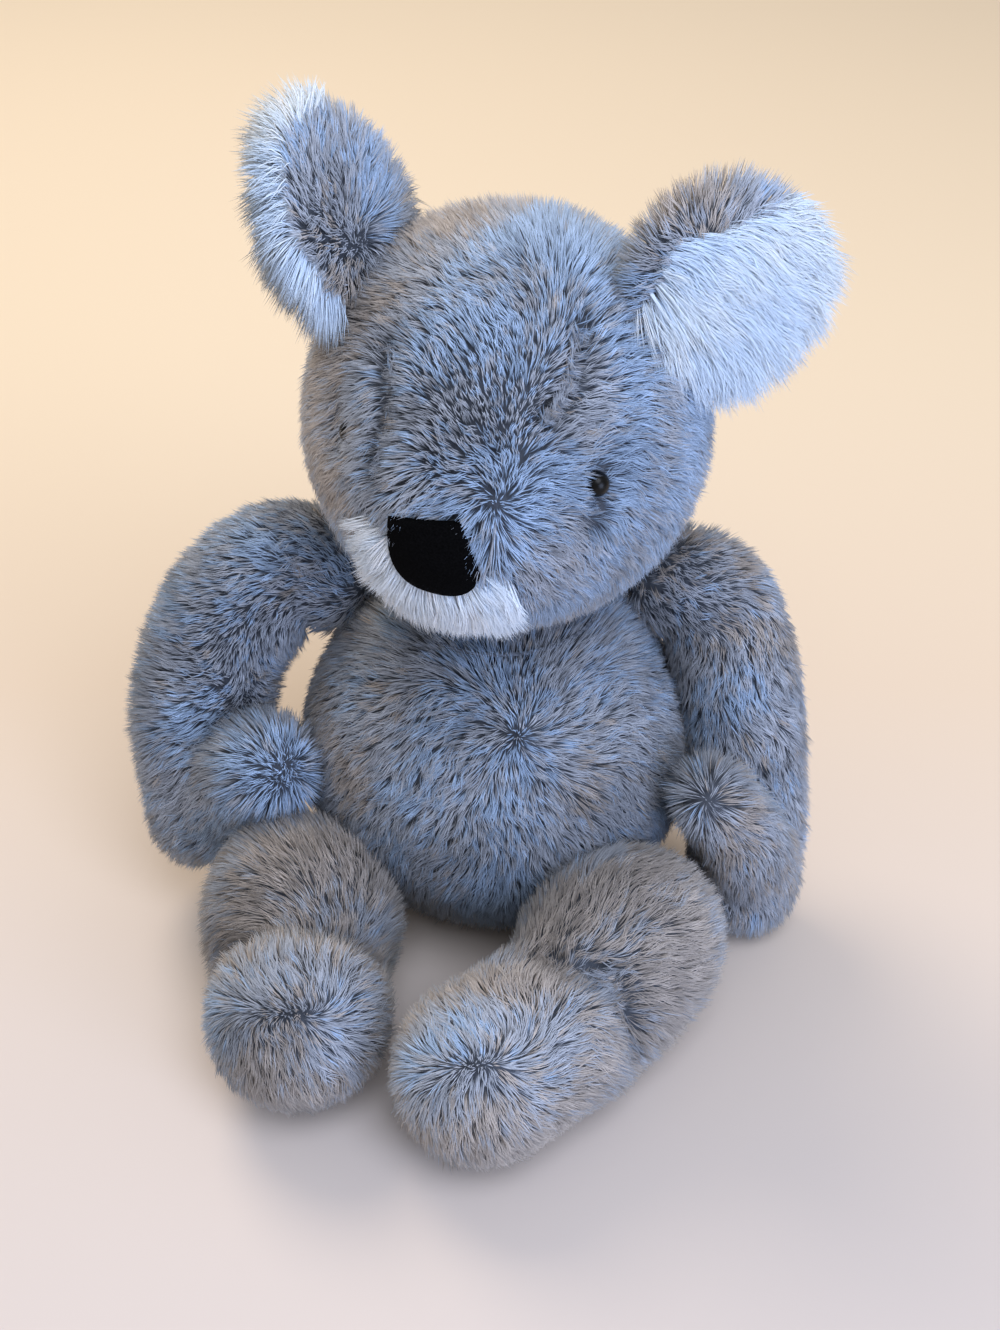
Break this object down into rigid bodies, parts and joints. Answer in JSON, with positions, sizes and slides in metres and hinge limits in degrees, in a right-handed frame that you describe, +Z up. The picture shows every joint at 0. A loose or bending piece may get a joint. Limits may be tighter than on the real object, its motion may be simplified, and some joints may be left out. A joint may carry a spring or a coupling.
{
  "type": "plush koala toy",
  "caption": "Seated plush koala with a turning head, fluffy folding ears and swinging arms and legs, pile-fabric covers over fibre filling",
  "frame": {"origin": "the middle of the flat spot under the torso that the koala sits on", "axes": "+Z up from the surface it sits on, -Y the way the body and legs face, +X the koala's own left"},
  "size_m": [0.209, 0.1895, 0.2464],
  "materials": {
    "grey_plush": "long-pile plush, matt, with a soft sheen at the tips",
    "white_plush": "long white pile, matt",
    "black_suede": "short black nap, fully matt",
    "black_bead": "glossy moulded bead",
    "washer_plastic": "moulded, satin",
    "fibre_filling": "loose polyester fibre",
    "pellet_bag": "thin woven bag of plastic pellets",
    "grey_thread": "twisted sewing thread"
  },
  "bodies": {
    "torso": {"torso_cover": "grey_plush", "torso_filling": "fibre_filling", "pellet_bag": "pellet_bag"},
    "neck": {"neck_thread": "grey_thread"},
    "head": {"head_cover": "grey_plush", "head_filling": "fibre_filling", "chin_panel": "white_plush", "nose_pad": "black_suede", "eye_left": "black_bead", "eye_right": "black_bead", "eye_washer_left": "washer_plastic", "eye_washer_right": "washer_plastic"},
    "ear_left": {"ear_left_back": "grey_plush", "ear_left_lining": "white_plush"},
    "ear_right": {"ear_right_back": "grey_plush", "ear_right_lining": "white_plush"},
    "arm_left": {"arm_left_cover": "grey_plush", "arm_left_filling": "fibre_filling"},
    "arm_right": {"arm_right_cover": "grey_plush", "arm_right_filling": "fibre_filling"},
    "leg_left": {"leg_left_cover": "grey_plush", "leg_left_filling": "fibre_filling"},
    "leg_right": {"leg_right_cover": "grey_plush", "leg_right_filling": "fibre_filling"}
  },
  "joints": [
    {"name": "neck_turn", "type": "hinge", "parent": "torso", "child": "neck", "pos_m": [0, 0, 0.106], "axis": [0, 0, 1], "range_deg": [-25, 25]},
    {"name": "neck_nod", "type": "hinge", "parent": "neck", "child": "head", "pos_m": [0, 0, 0.106], "axis": [0.9703, -0.2419, 0], "range_deg": [-7, 9]},
    {"name": "ear_left_fold", "type": "hinge", "parent": "head", "child": "ear_left", "pos_m": [0.04147, -0.01498, 0.2074], "axis": [-0.2027, 0.0404, 0.9784], "range_deg": [-20, 20]},
    {"name": "ear_right_fold", "type": "hinge", "parent": "head", "child": "ear_right", "pos_m": [-0.03318, 0.00562, 0.20861], "axis": [0.4235, 0.897, 0.1264], "range_deg": [-20, 20]},
    {"name": "arm_left_raise", "type": "hinge", "parent": "torso", "child": "arm_left", "pos_m": [0.049, 0.0155, 0.1035], "axis": [-0.7071, -0.7071, 0], "range_deg": [0, 65]},
    {"name": "arm_right_raise", "type": "hinge", "parent": "torso", "child": "arm_right", "pos_m": [-0.049, 0.0155, 0.1035], "axis": [-0.7071, 0.7071, 0], "range_deg": [0, 30]},
    {"name": "leg_left_swing", "type": "hinge", "parent": "torso", "child": "leg_left", "pos_m": [0.0345, -0.061, 0.0304], "axis": [-0.7828, 0.6222, 0], "range_deg": [-70, 5]},
    {"name": "leg_right_swing", "type": "hinge", "parent": "torso", "child": "leg_right", "pos_m": [-0.058, -0.05, 0.0304], "axis": [-1, 0, 0], "range_deg": [-75, 45]}
  ]
}
